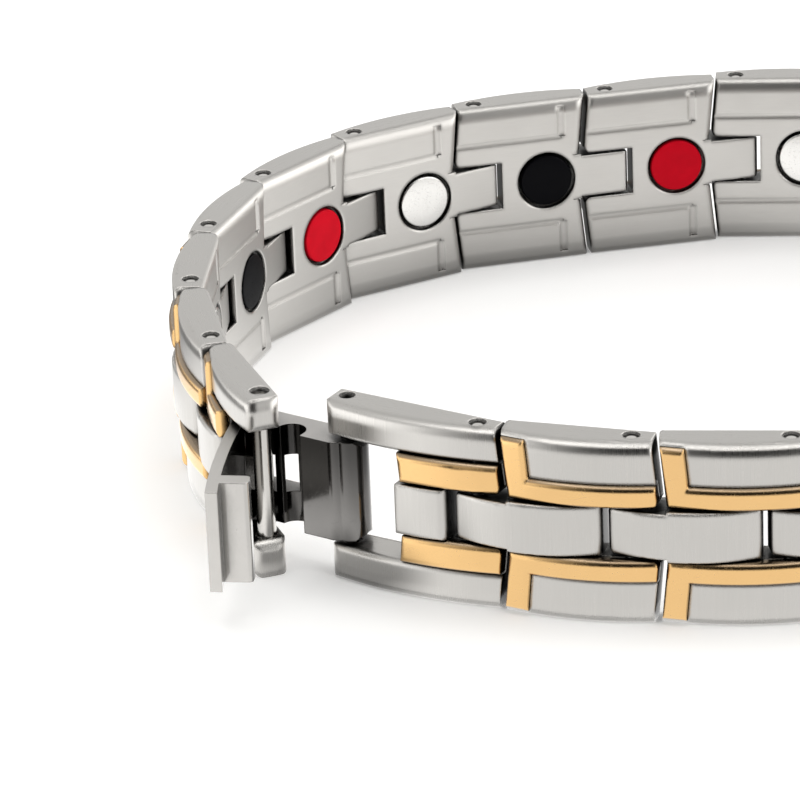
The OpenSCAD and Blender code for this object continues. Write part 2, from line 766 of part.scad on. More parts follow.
clasp_end_link();
link(1);  // link_01
link(2);  // link_02
link(3);  // link_03
link(4);  // link_04
link(5);  // link_05
link(6);  // link_06
link(7);  // link_07
link(8);  // link_08
link(9);  // link_09
link(10);  // link_10
link(11);  // link_11
link(12);  // link_12
link(13);  // link_13
link(14);  // link_14
link(15);  // link_15
link(16);  // link_16
link(17);  // link_17
link(18);  // link_18
link(19);  // link_19
link(20);  // link_20
bar_end_link();
clasp_end_ribs();
ribs(1);  // ribs_01
ribs(2);  // ribs_02
ribs(3);  // ribs_03
ribs(4);  // ribs_04
ribs(5);  // ribs_05
ribs(6);  // ribs_06
ribs(7);  // ribs_07
ribs(8);  // ribs_08
ribs(9);  // ribs_09
ribs(10);  // ribs_10
ribs(11);  // ribs_11
ribs(12);  // ribs_12
ribs(13);  // ribs_13
ribs(14);  // ribs_14
ribs(15);  // ribs_15
ribs(16);  // ribs_16
ribs(17);  // ribs_17
ribs(18);  // ribs_18
ribs(19);  // ribs_19
ribs(20);  // ribs_20
bar_end_ribs();
magnet_discs();
black_discs();
red_discs();
link_pins();
catch_bar();
clasp_pin();
lever_pin();
clasp_base();
clasp_lever();
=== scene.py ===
import bpy
import math
import numpy as np
from mathutils import Matrix, Vector


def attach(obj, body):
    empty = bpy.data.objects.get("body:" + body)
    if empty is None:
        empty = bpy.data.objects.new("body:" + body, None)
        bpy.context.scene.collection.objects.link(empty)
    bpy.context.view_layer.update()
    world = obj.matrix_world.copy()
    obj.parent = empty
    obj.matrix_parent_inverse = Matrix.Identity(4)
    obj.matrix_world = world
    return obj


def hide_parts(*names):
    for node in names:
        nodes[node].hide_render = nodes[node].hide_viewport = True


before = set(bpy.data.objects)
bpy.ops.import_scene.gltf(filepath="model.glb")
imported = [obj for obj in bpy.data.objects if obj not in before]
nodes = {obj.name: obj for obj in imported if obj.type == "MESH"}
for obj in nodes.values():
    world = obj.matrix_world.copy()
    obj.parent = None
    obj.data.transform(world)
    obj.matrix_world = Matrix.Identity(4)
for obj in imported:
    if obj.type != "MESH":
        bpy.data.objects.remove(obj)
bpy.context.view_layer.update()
millimetre = 0.001

# Small helpers for node trees

def feed(tree, socket, value):
    if isinstance(value, bpy.types.NodeSocket):
        tree.links.new(value, socket)
    else:
        socket.default_value = value


def addNode(tree, kind, settings=None, **inputs):
    node = tree.nodes.new(kind)
    for key, value in (settings or {}).items():
        setattr(node, key, value)
    for key, value in inputs.items():
        feed(tree, node.inputs[int(key[1:]) if key[1:].isdigit() else key.replace("_", " ")], value)
    return node


def mathNode(tree, operation, first, second=0.0, third=0.0):
    node = addNode(tree, "ShaderNodeMath", {"operation": operation}, i0=first, i1=second, i2=third)
    return node.outputs[0]


def vectorNode(tree, operation, first, second=(0, 0, 0)):
    node = addNode(tree, "ShaderNodeVectorMath", {"operation": operation}, i0=first, i1=second)
    return node.outputs["Value" if operation in ("DOT_PRODUCT", "LENGTH") else "Vector"]


def rangeNode(tree, value, fromLow, fromHigh, toLow=0.0, toHigh=1.0, smooth=False):
    kind = {"interpolation_type": "SMOOTHSTEP" if smooth else "LINEAR"}
    return addNode(tree, "ShaderNodeMapRange", kind, i0=value, i1=fromLow, i2=fromHigh,
                   i3=toLow, i4=toHigh).outputs[0]


def mixColour(tree, factor, first, second):
    return addNode(tree, "ShaderNodeMix", {"data_type": "RGBA"}, i0=factor, i6=first, i7=second).outputs[2]


def mixValue(tree, factor, first, second):
    return addNode(tree, "ShaderNodeMix", {"data_type": "FLOAT"}, i0=factor, i2=first, i3=second).outputs[0]


def noiseNode(tree, place, **inputs):
    return addNode(tree, "ShaderNodeTexNoise", Vector=place, **inputs).outputs[0]


def partOf(tree, vector, axis):
    return addNode(tree, "ShaderNodeSeparateXYZ", Vector=vector).outputs[axis]


def inMillimetres(tree, vector):
    return addNode(tree, "ShaderNodeVectorMath", {"operation": "SCALE"}, i0=vector,
                   Scale=1 / millimetre).outputs["Vector"]


def objectPlace(tree):
    return addNode(tree, "ShaderNodeTexCoord").outputs["Object"]


def faceNormal(tree):
    return addNode(tree, "ShaderNodeNewGeometry").outputs["Normal"]


def tinted(colour, factor):
    return (*[min(1.0, part * factor) for part in colour], 1)


def openGroup(name, ins, outs, kind="ShaderNodeTree"):
    tree = bpy.data.node_groups.new(name, kind)
    for label, socketType, value in ins:
        socket = tree.interface.new_socket(label, in_out="INPUT", socket_type=socketType)
        if value is not None:
            socket.default_value = value
    for label, socketType in outs:
        tree.interface.new_socket(label, in_out="OUTPUT", socket_type=socketType)
    return tree, tree.nodes.new("NodeGroupInput").outputs, tree.nodes.new("NodeGroupOutput").inputs


def useGroup(tree, group, **inputs):
    node = tree.nodes.new("ShaderNodeGroup")
    node.node_tree = group
    for key, value in inputs.items():
        feed(tree, node.inputs[key.replace("_", " ")], value)
    return node.outputs


# Effects that several finishes share

satinLines = {"detail": 3.0, "fine": 0.6, "grainShare": 0.7, "cloudShare": 0.3, "cloudDetail": 2.0}


def satinGrainGroup(values):
    tree, gin, gout = openGroup("satinGrain", [
        ("Vector", "NodeSocketVector", None), ("Lines", "NodeSocketFloat", 14.0),
        ("Run", "NodeSocketFloat", 0.35), ("Cloud", "NodeSocketFloat", 0.35),
        ("Lengthwise", "NodeSocketFloat", 0.0)],
        [("Tone", "NodeSocketFloat"), ("Height", "NodeSocketFloat")])
    place = inMillimetres(tree, gin["Vector"])
    close, drawn = gin["Lines"], gin["Run"]
    brushed = []
    for x, y, z in ((close, close, drawn), (drawn, close, close)):               # upright, then lengthwise
        stretch = addNode(tree, "ShaderNodeCombineXYZ", X=x, Y=y, Z=z).outputs[0]
        brushed.append(noiseNode(tree, vectorNode(tree, "MULTIPLY", place, stretch), Scale=1.0,
                                 Detail=values["detail"], Roughness=values["fine"]))
    grain = mixValue(tree, gin["Lengthwise"], brushed[0], brushed[1])
    cloud = noiseNode(tree, place, Scale=gin["Cloud"], Detail=values["cloudDetail"])
    tree.links.new(mathNode(tree, "ADD", mathNode(tree, "MULTIPLY", grain, values["grainShare"]),
                            mathNode(tree, "MULTIPLY", cloud, values["cloudShare"])), gout["Tone"])
    tree.links.new(grain, gout["Height"])
    return tree


roundedEdge = {"samples": 6, "flat": 0.995, "turned": 0.8}       # cosines of the turn off the face


def softEdgeGroup(values):
    tree, gin, gout = openGroup("softEdge", [("Radius", "NodeSocketFloat", 0.0001)],
                                [("Edge", "NodeSocketFloat"), ("Normal", "NodeSocketVector")])
    rounded = addNode(tree, "ShaderNodeBevel", {"samples": values["samples"]},
                      Radius=gin["Radius"]).outputs[0]
    turn = vectorNode(tree, "DOT_PRODUCT", rounded, faceNormal(tree))
    tree.links.new(rangeNode(tree, turn, values["flat"], values["turned"], smooth=True), gout["Edge"])
    tree.links.new(rounded, gout["Normal"])
    return tree


scratches = {"turns": (0.35, 1.25, 2.3), "lean": 0.4, "tilt": 0.3,          # lean is a share of the turn
             "stretch": (0.25, 6.0, 6.0), "detail": 1.0, "from": 0.66, "full": 0.72,
             "smudgeScale": 0.8, "smudgeDetail": 3.0}


def fineScratchGroup(values):
    tree, gin, gout = openGroup("fineScratch", [
        ("Vector", "NodeSocketVector", None), ("Density", "NodeSocketFloat", 1.2)],
        [("Mark", "NodeSocketFloat"), ("Smudge", "NodeSocketFloat")])
    place = inMillimetres(tree, gin["Vector"])
    marks = []
    for turn in values["turns"]:
        turned = addNode(tree, "ShaderNodeMapping", Vector=place,
                         Rotation=(values["lean"] * turn, values["tilt"], turn)).outputs[0]
        streaks = noiseNode(tree, vectorNode(tree, "MULTIPLY", turned, values["stretch"]),
                            Scale=gin["Density"], Detail=values["detail"])
        marks.append(rangeNode(tree, streaks, values["from"], values["full"]))
    most = mathNode(tree, "MAXIMUM", mathNode(tree, "MAXIMUM", marks[0], marks[1]), marks[2])
    tree.links.new(most, gout["Mark"])
    tree.links.new(noiseNode(tree, place, Scale=values["smudgeScale"], Detail=values["smudgeDetail"]),
                   gout["Smudge"])
    return tree


# painted shade: the colour is darkened towards black where ambient occlusion finds crevices, gaps and
# recesses
crevices = {"samples": 6, "closed": 0.35, "open": 0.72, "paintedShade": (0, 0, 0, 1)}   # shares of open sky


def creviceGroup(values):
    tree, gin, gout = openGroup("creviceShade", [
        ("Color", "NodeSocketColor", (0.5, 0.5, 0.5, 1)), ("Reach", "NodeSocketFloat", 0.001),
        ("Depth", "NodeSocketFloat", 0.9)], [("Color", "NodeSocketColor")])
    shade = addNode(tree, "ShaderNodeAmbientOcclusion", {"samples": values["samples"]},
                    Distance=gin["Reach"]).outputs["AO"]
    shut = rangeNode(tree, shade, values["closed"], values["open"], 1.0, 0.0, True)
    amount = mathNode(tree, "MULTIPLY", shut, gin["Depth"])
    tree.links.new(mixColour(tree, amount, gin["Color"], values["paintedShade"]), gout["Color"])
    return tree


wristSides = {"from": 0.5, "full": 0.8}                          # cosines of the turn off the wrist


def faceSidesGroup(values):
    tree, gin, gout = openGroup("faceSides", [
        ("Normal", "NodeSocketVector", None), ("Inward", "NodeSocketVector", None),
        ("From", "NodeSocketFloat", 0.6), ("Full", "NodeSocketFloat", 0.9)],
        [("Upward", "NodeSocketFloat"), ("Wristward", "NodeSocketFloat")])
    upward = mathNode(tree, "ABSOLUTE", partOf(tree, gin["Normal"], "Z"))
    tree.links.new(rangeNode(tree, upward, gin["From"], gin["Full"], smooth=True), gout["Upward"])
    wristward = vectorNode(tree, "DOT_PRODUCT", gin["Normal"], gin["Inward"])
    tree.links.new(rangeNode(tree, wristward, values["from"], values["full"], smooth=True),
                   gout["Wristward"])
    return tree


def softCrownGroup():
    tree, gin, gout = openGroup("softCrown", [
        ("Vector", "NodeSocketVector", None), ("Middle", "NodeSocketFloat", 0.006),
        ("Flat", "NodeSocketFloat", 0.005), ("Radius", "NodeSocketFloat", 0.002)],
        [("Height", "NodeSocketFloat")])
    height = partOf(tree, gin["Vector"], "Z")
    away = mathNode(tree, "ABSOLUTE", mathNode(tree, "SUBTRACT", height, gin["Middle"]))
    past = mathNode(tree, "MAXIMUM", mathNode(tree, "SUBTRACT", away, gin["Flat"]), 0.0)
    drop = mathNode(tree, "DIVIDE", mathNode(tree, "MULTIPLY", past, past), gin["Radius"])
    tree.links.new(mathNode(tree, "MULTIPLY", drop, -0.5), gout["Height"])
    return tree


satinGrain = satinGrainGroup(satinLines)
softEdge = softEdgeGroup(roundedEdge)
fineScratch = fineScratchGroup(scratches)
crevice = creviceGroup(crevices)
faceSides = faceSidesGroup(wristSides)
softCrown = softCrownGroup()
print("shared effects ready")


# Finishes: radii, reaches and heights are in millimetres

def newMaterial(name):
    material = bpy.data.materials.new(name)
    material.use_nodes = True
    tree = material.node_tree
    tree.nodes.clear()
    shader = tree.nodes.new("ShaderNodeBsdfPrincipled")
    out = tree.nodes.new("ShaderNodeOutputMaterial")
    tree.links.new(shader.outputs[0], out.inputs[0])
    return material, tree, shader.inputs


# painted shade in crevices, gaps and recesses
def darkenCrevices(tree, shader, colour, values):
    shaded = useGroup(tree, crevice, Color=colour, Reach=values["creviceReach"] * millimetre,
                      Depth=values["creviceDepth"])
    tree.links.new(shaded["Color"], shader["Base Color"])


brushedSteel = {"colour": (0.495, 0.482, 0.461), "dark": 0.965, "toneFrom": 0.3, "toneFull": 0.7,
                "roughLow": 0.255, "roughHigh": 0.325, "wristLift": 1.12, "wristRough": 0.12,
                "edgeRadius": 0.36, "edgeRough": 0.2, "edgeLift": 1.06,
                "lines": 18.0, "run": 0.3, "bump": 0.003, "bumpReach": 0.003,
                "creviceReach": 2.4, "creviceDepth": 0.97,
                "crownMiddle": 6.0, "crownFlat": 4.82, "crownRadius": 1.5}       # rims fall off a little


def makeBrushedSteel(name, along, values):
    material, tree, shader = newMaterial(name)
    place = objectPlace(tree)
    heading = math.atan2(along[1], along[0])
    turned = addNode(tree, "ShaderNodeMapping", Vector=place, Rotation=(0, 0, -heading)).outputs[0]
    faces = useGroup(tree, faceSides, Normal=faceNormal(tree), Inward=(-along[1], along[0], 0))
    grain = useGroup(tree, satinGrain, Vector=turned, Lines=values["lines"], Run=values["run"],
                     Lengthwise=mathNode(tree, "MAXIMUM", faces["Upward"], faces["Wristward"]))
    edge = useGroup(tree, softEdge, Radius=values["edgeRadius"] * millimetre)

    tone = rangeNode(tree, grain["Tone"], values["toneFrom"], values["toneFull"])
    # the wrist side has its own rougher finish and is also painted lighter, a painted brightening of that
    # side
    outer, inner = [mixColour(tree, tone, tinted(values["colour"], values["dark"] * lift),
                              tinted(values["colour"], lift)) for lift in (1, values["wristLift"])]
    base = mixColour(tree, faces["Wristward"], outer, inner)
    # painted highlight: rounded edges are painted lighter; their lower roughness stands for rubbed edges
    rubbedAndLitEdges = mixColour(tree, edge["Edge"], base, tinted(values["colour"], values["edgeLift"]))
    darkenCrevices(tree, shader, rubbedAndLitEdges, values)

    rough = rangeNode(tree, grain["Tone"], values["toneFrom"], values["toneFull"],
                      values["roughHigh"], values["roughLow"])
    rough = mathNode(tree, "MULTIPLY_ADD", faces["Wristward"], values["wristRough"], rough)
    tree.links.new(mixValue(tree, edge["Edge"], rough, values["edgeRough"]), shader["Roughness"])
    shader["Metallic"].default_value = 1.0

    crown = useGroup(tree, softCrown, Vector=place, Middle=values["crownMiddle"] * millimetre,
                     Flat=values["crownFlat"] * millimetre, Radius=values["crownRadius"] * millimetre)
    buffed = addNode(tree, "ShaderNodeBump", Strength=1.0, Distance=1.0, Height=crown["Height"],
                     Normal=edge["Normal"]).outputs[0]
    bump = addNode(tree, "ShaderNodeBump", Strength=values["bump"],
                   Distance=values["bumpReach"] * millimetre, Height=grain["Height"], Normal=buffed)
    tree.links.new(bump.outputs[0], shader["Normal"])
    return material


polishedMetal = {"smudgeFrom": 0.3, "smudgeFull": 0.7, "dullFrom": 0.35, "smudgeRough": 0.05,
                 "markRough": 0.1, "bump": 0.04, "bumpReach": 0.002}
goldPlating = {"colour": (0.7, 0.45, 0.2), "dark": 0.97, "rough": 0.15, "edgeRadius": 0.24, "density": 1.2,
               "creviceReach": 2.0, "creviceDepth": 0.95,
               "paintedEdgeShade": (0.3, 0.225, 0.15), "edgeDull": 0.02, "edgeFrom": 0.5, "edgeFull": 0.8}
brightSteel = {"colour": (0.5, 0.487, 0.465), "dark": 0.94, "rough": 0.13, "edgeRadius": 0.1,
               "density": 1.2, "creviceReach": 1.6, "creviceDepth": 0.9}
magnetPlating = {**brightSteel, "colour": (0.7, 0.69, 0.67), "rough": 0.24}
pinSteel = {**brightSteel, "colour": (0.62, 0.605, 0.58), "creviceReach": 0.3, "creviceDepth": 0.8}
leverSteel = {**brightSteel, "colour": (0.45, 0.438, 0.42), "creviceReach": 2.5, "creviceDepth": 0.95,
              "satin": 0.2, "satinLift": 1.2}
# painted shade: the clasp base gets a far darker steel than the lever, standing in for the dark
# surroundings its mirror faces reflect
claspSteel = {**leverSteel, "colour": (0.19, 0.184, 0.178), "rough": 0.1, "creviceReach": 4.0,
              "satinLift": 2.4, "paintedTopReflection": 0.3, "headFrom": 2.5, "headFull": 9.5}


def satinTopsWithPaintedLight(tree, values, place, base, rough):        # level faces are sawn and left satin, and painted lighter
    upward = useGroup(tree, faceSides, Normal=faceNormal(tree))["Upward"]
    # painted highlight: level faces are painted lighter
    base = mixColour(tree, upward, base, tinted(values["colour"], values["satinLift"]))
    rough = mathNode(tree, "MULTIPLY_ADD", upward, values["satin"], rough)
    if "paintedTopReflection" in values:                                 # painted reflection: the broad faces are painted darker towards the top
        head = rangeNode(tree, partOf(tree, place, "Z"), values["headFrom"] * millimetre,
                         values["headFull"] * millimetre, smooth=True)
        broad = mathNode(tree, "MULTIPLY", head, mathNode(tree, "SUBTRACT", 1.0, upward))
        base = mixColour(tree, broad, base, tinted(values["colour"], values["paintedTopReflection"]))
    return base, rough


def dullAndShadeTopEdges(tree, values, normal, base, rough):        # the plating is dulled along level edges and painted darker and paler there, a painted shade that dims the highlight
    sides = useGroup(tree, faceSides, Normal=normal, From=values["edgeFrom"], Full=values["edgeFull"])
    base = mixColour(tree, sides["Upward"], base, (*values["paintedEdgeShade"], 1))
    rough = mathNode(tree, "MULTIPLY_ADD", sides["Upward"], values["edgeDull"], rough)
    return base, rough


def makePolished(name, values, shared):
    material, tree, shader = newMaterial(name)
    place = objectPlace(tree)
    wear = useGroup(tree, fineScratch, Vector=place, Density=values["density"])
    edge = useGroup(tree, softEdge, Radius=values["edgeRadius"] * millimetre)
    smudge = rangeNode(tree, wear["Smudge"], shared["smudgeFrom"], shared["smudgeFull"])
    base = mixColour(tree, smudge, tinted(values["colour"], values["dark"]), tinted(values["colour"], 1))
    rough = rangeNode(tree, wear["Smudge"], shared["dullFrom"], shared["smudgeFull"],
                      values["rough"], values["rough"] + shared["smudgeRough"])
    if "satin" in values:
        base, rough = satinTopsWithPaintedLight(tree, values, place, base, rough)
    if "paintedEdgeShade" in values:
        base, rough = dullAndShadeTopEdges(tree, values, edge["Normal"], base, rough)
    darkenCrevices(tree, shader, base, values)
    marked = mathNode(tree, "MULTIPLY_ADD", wear["Mark"], shared["markRough"], rough)
    tree.links.new(marked, shader["Roughness"])
    shader["Metallic"].default_value = 1.0
    bump = addNode(tree, "ShaderNodeBump", {"invert": True}, Strength=shared["bump"],
                   Distance=shared["bumpReach"] * millimetre, Height=wear["Mark"], Normal=edge["Normal"])
    tree.links.new(bump.outputs[0], shader["Normal"])
    return material


insertFinish = {"red": (0.6, 0.002, 0.014), "black": (0.001, 0.001, 0.002),
                "shadeLow": 0.8, "shadeHigh": 1.2, "density": 0.9, "rough": 0.3, "markRough": 0.1,
                "smudgeFrom": 0.3, "smudgeFull": 0.7, "smudgeRough": 0.08,
                "specular": 0.05, "bump": 0.1, "bumpReach": 0.01}


def makeGlossInsert(name, colour, values):
    material, tree, shader = newMaterial(name)
    wear = useGroup(tree, fineScratch, Vector=objectPlace(tree), Density=values["density"])
    shade = mixColour(tree, wear["Smudge"], tinted(colour, values["shadeLow"]),
                      tinted(colour, values["shadeHigh"]))
    tree.links.new(shade, shader["Base Color"])
    smudged = rangeNode(tree, wear["Smudge"], values["smudgeFrom"], values["smudgeFull"],
                        0.0, values["smudgeRough"])
    marked = rangeNode(tree, wear["Mark"], 0.0, 1.0, values["rough"], values["rough"] + values["markRough"])
    tree.links.new(mathNode(tree, "ADD", smudged, marked), shader["Roughness"])
    shader["Specular IOR Level"].default_value = values["specular"]
    bump = addNode(tree, "ShaderNodeBump", {"invert": True}, Strength=values["bump"],
                   Distance=values["bumpReach"] * millimetre, Height=wear["Smudge"])
    tree.links.new(bump.outputs[0], shader["Normal"])
    return material


def giveFinish(piece, material):
    piece.data.materials.clear()
    piece.data.materials.append(material)


def pointsOf(piece):
    coords = np.empty(len(piece.data.vertices) * 3)
    piece.data.vertices.foreach_get("co", coords)
    return coords.reshape(-1, 3)


def planAxes(points):
    plan = points[:, :2] - points[:, :2].mean(0)
    return np.linalg.eigh(np.cov(plan.T))[1].T             # the shorter way across, then the longer


def alongOf(piece):
    points = pointsOf(piece)
    along = planAxes(points)[1]
    middle = points[:, :2].mean(0)
    wristIsLeft = along[0] * middle[1] - along[1] * middle[0] < 0
    return along if wristIsLeft else -along


gold = makePolished("goldPlating", goldPlating, polishedMetal)
bright = makePolished("brightSteel", brightSteel, polishedMetal)
pinFinish = makePolished("pinSteel", pinSteel, polishedMetal)
leverFinish = makePolished("leverSteel", leverSteel, polishedMetal)
claspFinish = makePolished("claspSteel", claspSteel, polishedMetal)
magnet = makePolished("magnetPlating", magnetPlating, polishedMetal)
red = makeGlossInsert("redInsert", insertFinish["red"], insertFinish)
black = makeGlossInsert("blackInsert", insertFinish["black"], insertFinish)
ownFinish = {"clasp_base": claspFinish, "clasp_lever": leverFinish, "link_pins": pinFinish,
             "magnet_discs": magnet, "black_discs": black, "red_discs": red}

for name, piece in nodes.items():
    if "link" in name and name != "link_pins":
        giveFinish(piece, makeBrushedSteel("brushedSteel_" + name, alongOf(piece), brushedSteel))
    elif "ribs" in name:
        giveFinish(piece, gold)
    else:
        giveFinish(piece, ownFinish.get(name, bright))
print("finishes ready")


# The round pieces that repeat: inserts and link pins, one node tree for all

turnedShape = {"filletSteps": 5, "bore": 1e-7, "weld": 1e-6}     # bore and weld in metres


def turnedPieceTree(values):
    tree, gin, gout = openGroup("turnedPieces", [
        ("Seats", "NodeSocketGeometry", None), ("Radius", "NodeSocketFloat", 0.001),
        ("Length", "NodeSocketFloat", 0.001), ("Edge Radius", "NodeSocketFloat", 0.0001),
        ("Crown", "NodeSocketFloat", 0.0), ("Sides", "NodeSocketInt", 48),
        ("Finish", "NodeSocketMaterial", None)],
        [("Geometry", "NodeSocketGeometry")], "GeometryNodeTree")
    half = mathNode(tree, "MULTIPLY", gin["Length"], 0.5)
    low = mathNode(tree, "MULTIPLY", half, -1.0)
    corners = [addNode(tree, "ShaderNodeCombineXYZ", X=x, Y=y).outputs[0]
               for x, y in ((0.0, low), (gin["Radius"], low), (gin["Radius"], half), (0.0, half))]
    outline = addNode(tree, "GeometryNodeCurvePrimitiveQuadrilateral", {"mode": "POINTS"},
                      Point_1=corners[0], Point_2=corners[1], Point_3=corners[2],
                      Point_4=corners[3]).outputs[0]
    opened = addNode(tree, "GeometryNodeSetSplineCyclic", Geometry=outline, Cyclic=False).outputs[0]
    rounded = addNode(tree, "GeometryNodeFilletCurve", {"mode": "POLY"}, Curve=opened,
                      Count=values["filletSteps"], Radius=gin["Edge Radius"]).outputs[0]
    finer = addNode(tree, "GeometryNodeSubdivideCurve", Curve=rounded, Cuts=1).outputs[0]
    ring = addNode(tree, "GeometryNodeCurvePrimitiveCircle", Resolution=gin["Sides"],
                   Radius=values["bore"]).outputs[0]
    turned = addNode(tree, "GeometryNodeCurveToMesh", Curve=ring, Profile_Curve=finer).outputs[0]
    closed = addNode(tree, "GeometryNodeMergeByDistance", Geometry=turned,
                     Distance=values["weld"]).outputs[0]

    place = addNode(tree, "GeometryNodeInputPosition").outputs[0]
    level = vectorNode(tree, "MULTIPLY", place, (1, 1, 0))
    share = mathNode(tree, "DIVIDE", vectorNode(tree, "LENGTH", level), gin["Radius"])
    dome = mathNode(tree, "SUBTRACT", 1.0, mathNode(tree, "MULTIPLY", share, share))
    side = mathNode(tree, "DIVIDE", partOf(tree, place, "Z"), half)
    rise = mathNode(tree, "MULTIPLY", mathNode(tree, "MULTIPLY", dome, side), gin["Crown"])
    crowned = addNode(tree, "GeometryNodeSetPosition", Geometry=closed,
                      Offset=addNode(tree, "ShaderNodeCombineXYZ", Z=rise).outputs[0]).outputs[0]

    axis = addNode(tree, "GeometryNodeInputNamedAttribute", {"data_type": "FLOAT_VECTOR"},
                   Name="facing").outputs[0]
    turn = addNode(tree, "FunctionNodeAlignRotationToVector", {"axis": "Z"}, Vector=axis).outputs[0]
    placed = addNode(tree, "GeometryNodeInstanceOnPoints", Points=gin["Seats"], Instance=crowned,
                     Rotation=turn).outputs[0]
    real = addNode(tree, "GeometryNodeRealizeInstances", Geometry=placed).outputs[0]
    smooth = addNode(tree, "GeometryNodeSetShadeSmooth", Geometry=real).outputs[0]
    dressed = addNode(tree, "GeometryNodeSetMaterial", Geometry=smooth, Material=gin["Finish"]).outputs[0]
    tree.links.new(dressed, gout["Geometry"])
    return tree


seatReach = 0.005                        # metres: wider than a disc or a pin, less than their step


def seatsOf(node, upright):
    points = pointsOf(node)
    seats = []
    while len(points):
        near = np.linalg.norm(points[:, :2] - points[0, :2], axis=1) < seatReach
        own, points = points[near], points[~near]
        middle = (own.min(0) + own.max(0)) / 2
        if upright:
            axis, length = np.array((0.0, 0.0, 1.0)), np.ptp(own[:, 2])
            width = np.ptp(own[:, 0])
        else:
            across = np.append(planAxes(own)[0], 0.0)
            axis = -across if across @ middle > 0 else across          # towards the wrist
            length, width = np.ptp(own @ axis), np.ptp(own[:, 2])
            middle = middle + axis * ((own @ axis).min() + length / 2 - middle @ axis)
        seats.append((middle, axis, length, width / 2))
    return seats


turnedPieces = turnedPieceTree(turnedShape)
linkPins = {"name": "linkPins", "node": "link_pins", "upright": True, "edgeRadius": 0.08, "crown": 0.16,
            "sides": 32, "slot": "polished_steel"}
inserts = {"edgeRadius": 0.12, "crown": 0.03, "sides": 64, "upright": False}


def makeTurned(values, material):
    node = nodes[values["node"]]
    seats = seatsOf(node, values["upright"])
    mesh = bpy.data.meshes.new(values["name"] + "Seats")
    mesh.from_pydata([tuple(seat[0]) for seat in seats], [], [])
    facing = mesh.attributes.new("facing", "FLOAT_VECTOR", "POINT")
    facing.data.foreach_set("vector", np.array([seat[1] for seat in seats]).ravel())
    holder = bpy.data.objects.new(values["name"] + "Seats", mesh)
    bpy.context.scene.collection.objects.link(holder)
    tuned = holder.modifiers.new("turned", "NODES")
    tuned.node_group = turnedPieces
    wanted = {"Radius": seats[0][3], "Length": seats[0][2],
              "Edge Radius": values["edgeRadius"] * millimetre, "Crown": values["crown"] * millimetre,
              "Sides": values["sides"], "Finish": material}
    for item in turnedPieces.interface.items_tree:
        if item.name in wanted:
            tuned[item.identifier] = wanted[item.name]
    result = bpy.data.meshes.new_from_object(holder.evaluated_get(bpy.context.evaluated_depsgraph_get()))
    holder.modifiers.clear()
    bpy.data.objects.remove(holder)
    piece = bpy.data.objects.new(values["name"], result)
    bpy.context.scene.collection.objects.link(piece)
    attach(piece, "bracelet")
    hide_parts(values["node"])
    print(values["name"], len(seats), "pieces,", len(result.polygons), "faces")


makeTurned(linkPins, pinFinish)
makeTurned({**inserts, "name": "magnetInserts", "node": "magnet_discs", "slot": "magnet"}, magnet)
makeTurned({**inserts, "name": "blackInserts", "node": "black_discs", "slot": "black_insert"}, black)
makeTurned({**inserts, "name": "redInserts", "node": "red_discs", "slot": "red_insert"}, red)


# Floor, light and camera

whiteTable = {"half": 40.0, "drop": 0.00001,                                     # metres
              "tone": 0.87, "spread": 0.01, "warmth": 0.995, "glow": 0.19,
              "cloudScale": 6.0, "cloudDetail": 2.0, "rough": 0.6, "specular": 0.2}
# painted reflection: glossy rays see the floor as a glow, painted brighter to one side, dimmer far back,
# with a painted shadow near the clasp
tableLight = {"colour": (1.0, 0.995, 0.985, 1), "plain": 1.28,                   # limits in millimetres
              "lit": 1.64, "litSlope": (-0.8, 0.62, 0), "litFrom": -6.0, "litFull": 9.0,
              "dim": 0.3, "dimSlope": (-0.3, 0.95, 0), "dimFrom": 14.0, "dimFull": 32.0,
              "shaded": 0.45, "shadedAt": (-28.0, -25.0, 0), "shadedFrom": 7.0, "shadedFull": 2.5}


def paintedTableReflection(tree, place, values):      # painted reflection: a glow painted lit, dim or shaded, by zones
    spot = inMillimetres(tree, place)
    across = vectorNode(tree, "DOT_PRODUCT", spot, values["litSlope"])
    lit = rangeNode(tree, across, values["litFrom"], values["litFull"],
                    values["plain"], values["lit"], True)
    back = vectorNode(tree, "DOT_PRODUCT", spot, values["dimSlope"])
    far = rangeNode(tree, back, values["dimFrom"], values["dimFull"], smooth=True)
    fromClasp = vectorNode(tree, "LENGTH", vectorNode(tree, "SUBTRACT", spot, values["shadedAt"]))
    near = rangeNode(tree, fromClasp, values["shadedFrom"], values["shadedFull"], smooth=True)
    strength = mixValue(tree, near, mixValue(tree, far, lit, values["dim"]), values["shaded"])
    return addNode(tree, "ShaderNodeEmission", Color=values["colour"], Strength=strength).outputs[0]


